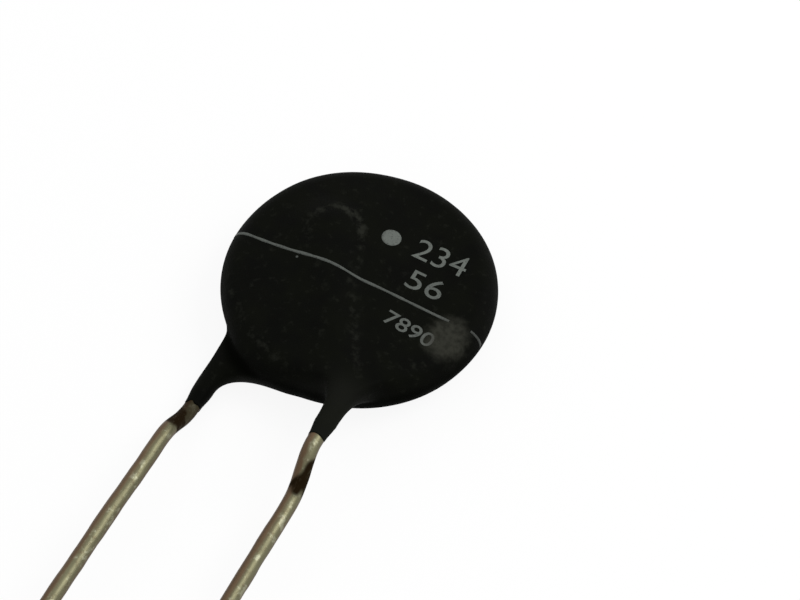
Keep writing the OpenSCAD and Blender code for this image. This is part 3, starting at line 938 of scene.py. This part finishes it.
def tinned_wire(finishes):
    """Satin tinned copper: streaks along the wire, painted shade in a tarnished colour on the flanks beside
    its lit side and the side opposite, bright spots, worn flecks, and a patch of baked residue below the
    coating."""
    made, tree, shader, place = new_material("tinned_wire")
    residue, lit_side = mask(tree, "residue"), mask(tree, "lit_side")
    streak = noise(tree, place, 0.16, 3, 0.6, stretch=(1, 0.07, 1))
    cloud = noise(tree, place, 1.4, 3, 0.55)
    worn = effect(tree, "Flecks", place, Size=0.3, Share=0.24, Softness=0.12)["Mask"]
    spots = effect(tree, "Flecks", place, Size=0.5, Share=0.3, Softness=0.1)["Mask"]
    # Painted shade: the flanks away from the lit side, with a slow cloud added, turn to the tarnished colour
    edge = maths(tree, "MULTIPLY_ADD", streak, 0.35, maths(tree, "SUBTRACT", lit_side, 0.175))
    shaded_flank = spread(tree, edge, 0.95, 0.58)
    dull = maths(tree, "MULTIPLY_ADD", cloud, 0.5, maths(tree, "SUBTRACT", shaded_flank, 0.25), clamp=True)
    lit = mixed(tree, maths(tree, "MULTIPLY", spots, 0.7), finishes.tin, finishes.bright)
    base = mixed(tree, dull, lit, finishes.tarnish_and_shade)
    base = mixed(tree, maths(tree, "MULTIPLY", worn, 0.4), base, finishes.tarnish_and_shade)
    crust = maths(tree, "MULTIPLY", residue, spread(tree, streak, 0.25, 0.45, 0.8, 1.0))
    base = mixed(tree, crust, base, finishes.residue)
    link(tree, base, shader.inputs["Base Color"])
    link(tree, maths(tree, "MULTIPLY_ADD", crust, -0.85, 0.95), shader.inputs["Metallic"])
    link(tree, spread(tree, crust, 0, 1, 0.1, 0.01), shader.inputs["Specular IOR Level"])
    rough = maths(tree, "MULTIPLY_ADD", streak, 0.25, maths(tree, "MULTIPLY_ADD", crust, 0.2, 0.32))
    link(tree, rough, shader.inputs["Roughness"])
    height = maths(tree, "MULTIPLY_ADD", worn, 0.6, streak)
    bump(tree, shader, height, 0.007 * MM)
    return made


def soft_metal(name, tone, roughness, size):
    """A dull metal with a fine grain and slow changes of tone, for the solder and the silver."""
    made, tree, shader, place = new_material(name)
    grain = effect(tree, "Grain", place, Size=size, Tone_Size=size * 12)
    base = mixed(tree, grain["Tone"], tuple(c * 0.8 for c in tone), tone)
    link(tree, base, shader.inputs["Base Color"])
    link(tree, spread(tree, grain["Tone"], 0, 1, roughness + 0.1, roughness), shader.inputs["Roughness"])
    shader.inputs["Metallic"].default_value = 1
    bump(tree, shader, grain["Height"], 0.01 * MM)
    return made


def sintered_ceramic(finishes):
    """Dark grey sintered ceramic with fine pores."""
    made, tree, shader, place = new_material("sintered_ceramic")
    grain = effect(tree, "Grain", place, Size=0.05, Tone_Size=1.5)
    pores = effect(tree, "Flecks", place, Size=0.12, Share=0.25, Softness=0.05)["Mask"]
    base = mixed(tree, grain["Tone"], tuple(c * 0.8 for c in finishes.ceramic), finishes.ceramic)
    base = mixed(tree, pores, base, tuple(c * 0.35 for c in finishes.ceramic))
    link(tree, base, shader.inputs["Base Color"])
    shader.inputs["Roughness"].default_value = 0.7
    bump(tree, shader, maths(tree, "SUBTRACT", grain["Height"], pores), 0.012 * MM)
    return made


class THERMISTOR_OT_finish_core(bpy.types.Operator):
    """Gives the sealed ceramic, electrodes and solder their finishes"""

    bl_idname = "thermistor.finish_core"
    bl_label = "Finish Core"

    def execute(self, context):
        finishes = context.scene.thermistor_finishes
        silver = soft_metal("fired_silver", finishes.silver, 0.4, 0.04)
        solder = soft_metal("solder", finishes.solder, 0.32, 0.1)
        looks = {"ceramic_disc": sintered_ceramic(finishes), "front_electrode": silver,
                 "back_electrode": silver, "front_solder": solder, "back_solder": solder}
        for node, finish in looks.items():
            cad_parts[node].data.materials.clear()
            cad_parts[node].data.materials.append(finish)
        return {"FINISHED"}


def place_camera(view):
    """A camera that looks at the disc's centre from its azimuth and elevation, is rolled about its
    own axis, and is then moved aside so that the centre falls where the photograph has it."""
    a, e = view.azimuth, view.elevation
    back = Vector((math.sin(a) * math.cos(e), -math.cos(a) * math.cos(e), math.sin(e)))
    right = (-back).cross(Vector(UP)).normalized()
    up = right.cross(-back)
    rolled = right * math.cos(view.roll) + up * math.sin(view.roll)
    upright = up * math.cos(view.roll) - right * math.sin(view.roll)
    data = bpy.data.cameras.new("camera")
    data.lens = view.lens
    data.sensor_width = 36
    data.clip_start, data.clip_end = 1 * MM, 10
    camera = bpy.data.objects.new("camera", data)
    place = Vector(CENTRE) + back * view.distance - rolled * view.aside - upright * view.above
    camera.matrix_world = Matrix.Translation(place) @ Matrix((rolled, upright, back)).transposed().to_4x4()
    bpy.context.scene.collection.objects.link(camera)
    bpy.context.scene.camera = camera


def seen_directly(tree):
    """1 for rays from the camera, from a reflection or through glass, and 0 for all that light the part."""
    path = add(tree, "ShaderNodeLightPath")
    clear = maths(tree, "MAXIMUM", path.outputs["Is Glossy Ray"], path.outputs["Is Transmission Ray"])
    return maths(tree, "MAXIMUM", path.outputs["Is Camera Ray"], clear)


def pale_floor(tone):
    """Floor material: pale diffuse, lifted to white where it is seen, so that only a faint shadow stays.
    From below it is clear."""
    made = bpy.data.materials.new("pale_floor")
    made.use_nodes = True
    tree = made.node_tree
    tree.nodes.clear()
    matt = add(tree, "ShaderNodeBsdfDiffuse", {"Color": (*tone, 1)})
    glow = add(tree, "ShaderNodeEmission", {"Color": (1, 1, 1, 1), "Strength": 1.0})
    lifted = add(tree, "ShaderNodeMixShader")
    link(tree, maths(tree, "MULTIPLY", seen_directly(tree), 0.9), lifted.inputs["Fac"])
    link(tree, matt.outputs["BSDF"], lifted.inputs[1])
    link(tree, glow.outputs["Emission"], lifted.inputs[2])
    below = add(tree, "ShaderNodeMixShader")
    link(tree, add(tree, "ShaderNodeNewGeometry").outputs["Backfacing"], below.inputs["Fac"])
    link(tree, lifted.outputs["Shader"], below.inputs[1])
    link(tree, add(tree, "ShaderNodeBsdfTransparent").outputs["BSDF"], below.inputs[2])
    output = add(tree, "ShaderNodeOutputMaterial")
    link(tree, below.outputs["Shader"], output.inputs["Surface"])
    return made


def light_world(ambient):
    """An even world at the ambient level, seen as white."""
    world = bpy.data.worlds.new("studio")
    bpy.context.scene.world = world
    world.use_nodes = True
    tree = world.node_tree
    tree.nodes.clear()
    sky = add(tree, "ShaderNodeBackground", {"Color": (1, 1, 1, 1)})
    level = spread(tree, seen_directly(tree), 0, 1, ambient, 1)
    link(tree, level, sky.inputs["Strength"])
    output = add(tree, "ShaderNodeOutputWorld")
    link(tree, sky.outputs["Background"], output.inputs["Surface"])


def hang_lamp(name, place, size, power):
    """A square soft lamp that faces the disc."""
    data = bpy.data.lights.new(name, "AREA")
    data.size, data.energy = size, power
    lamp = bpy.data.objects.new(name, data)
    lamp.location = place
    lamp.rotation_mode = "QUATERNION"
    lamp.rotation_quaternion = (Vector(CENTRE) - place).to_track_quat("-Z", "Y")
    bpy.context.scene.collection.objects.link(lamp)


class THERMISTOR_OT_set_stage(bpy.types.Operator):
    """Sets the camera, the floor, the lamps and the world"""

    bl_idname = "thermistor.set_stage"
    bl_label = "Set Stage"

    def execute(self, context):
        view = context.scene.thermistor_view
        place_camera(view)
        context.scene.view_settings.view_transform = "Standard"
        half = 0.6
        mesh = bpy.data.meshes.new("floor")
        mesh.from_pydata([(-half, -half, 0), (half, -half, 0), (half, half, 0), (-half, half, 0)],
                         [], [(0, 1, 2, 3)])
        floor = bpy.data.objects.new("floor", mesh)
        floor.data.materials.append(pale_floor(context.scene.thermistor_finishes.floor))
        context.scene.collection.objects.link(floor)
        light_world(view.ambient)
        hang_lamp("key", Vector((0.15, 0.12, 0.2)), 0.16, view.key_power)
        hang_lamp("fill", Vector((-0.14, 0.1, 0.16)), 0.14, view.fill_power)
        return {"FINISHED"}


class THERMISTOR_PT_pieces(bpy.types.Panel):
    """Pieces of the thermistor, in the 3D view's sidebar"""

    bl_label = "Thermistor"
    bl_idname = "THERMISTOR_PT_pieces"
    bl_space_type = "VIEW_3D"
    bl_region_type = "UI"
    bl_category = "Thermistor"

    def draw(self, context):
        for operator in OPERATORS:
            self.layout.operator(operator.bl_idname)
        for settings in SETTINGS:
            box = self.layout.box()
            group = getattr(context.scene, settings)
            box.label(text=SETTINGS[settings].__doc__)
            for name in SETTINGS[settings].__annotations__:
                box.prop(group, name)


SETTINGS = {"thermistor_view": ViewSettings, "thermistor_wires": WireSizes,
            "thermistor_coating": CoatingSizes, "thermistor_marking": MarkingSizes,
            "thermistor_finishes": Finishes}
OPERATORS = (THERMISTOR_OT_set_stage, THERMISTOR_OT_dip_coating, THERMISTOR_OT_form_leads,
             THERMISTOR_OT_print_marking, THERMISTOR_OT_finish_core)
CLASSES = (*SETTINGS.values(), *OPERATORS, THERMISTOR_PT_pieces)


def register():
    """Registers the classes and keeps the settings on the scene."""
    for kind in CLASSES:
        bpy.utils.register_class(kind)
    for name, kind in SETTINGS.items():
        setattr(bpy.types.Scene, name, bpy.props.PointerProperty(type=kind))


def unregister():
    """Takes the settings off the scene and the classes away."""
    for name in SETTINGS:
        delattr(bpy.types.Scene, name)
    for kind in reversed(CLASSES):
        bpy.utils.unregister_class(kind)


def main():
    register()
    bpy.ops.thermistor.set_stage()
    bpy.ops.thermistor.dip_coating()
    bpy.ops.thermistor.form_leads()
    bpy.ops.thermistor.print_marking()
    bpy.ops.thermistor.finish_core()


if __name__ == "__main__":
    main()
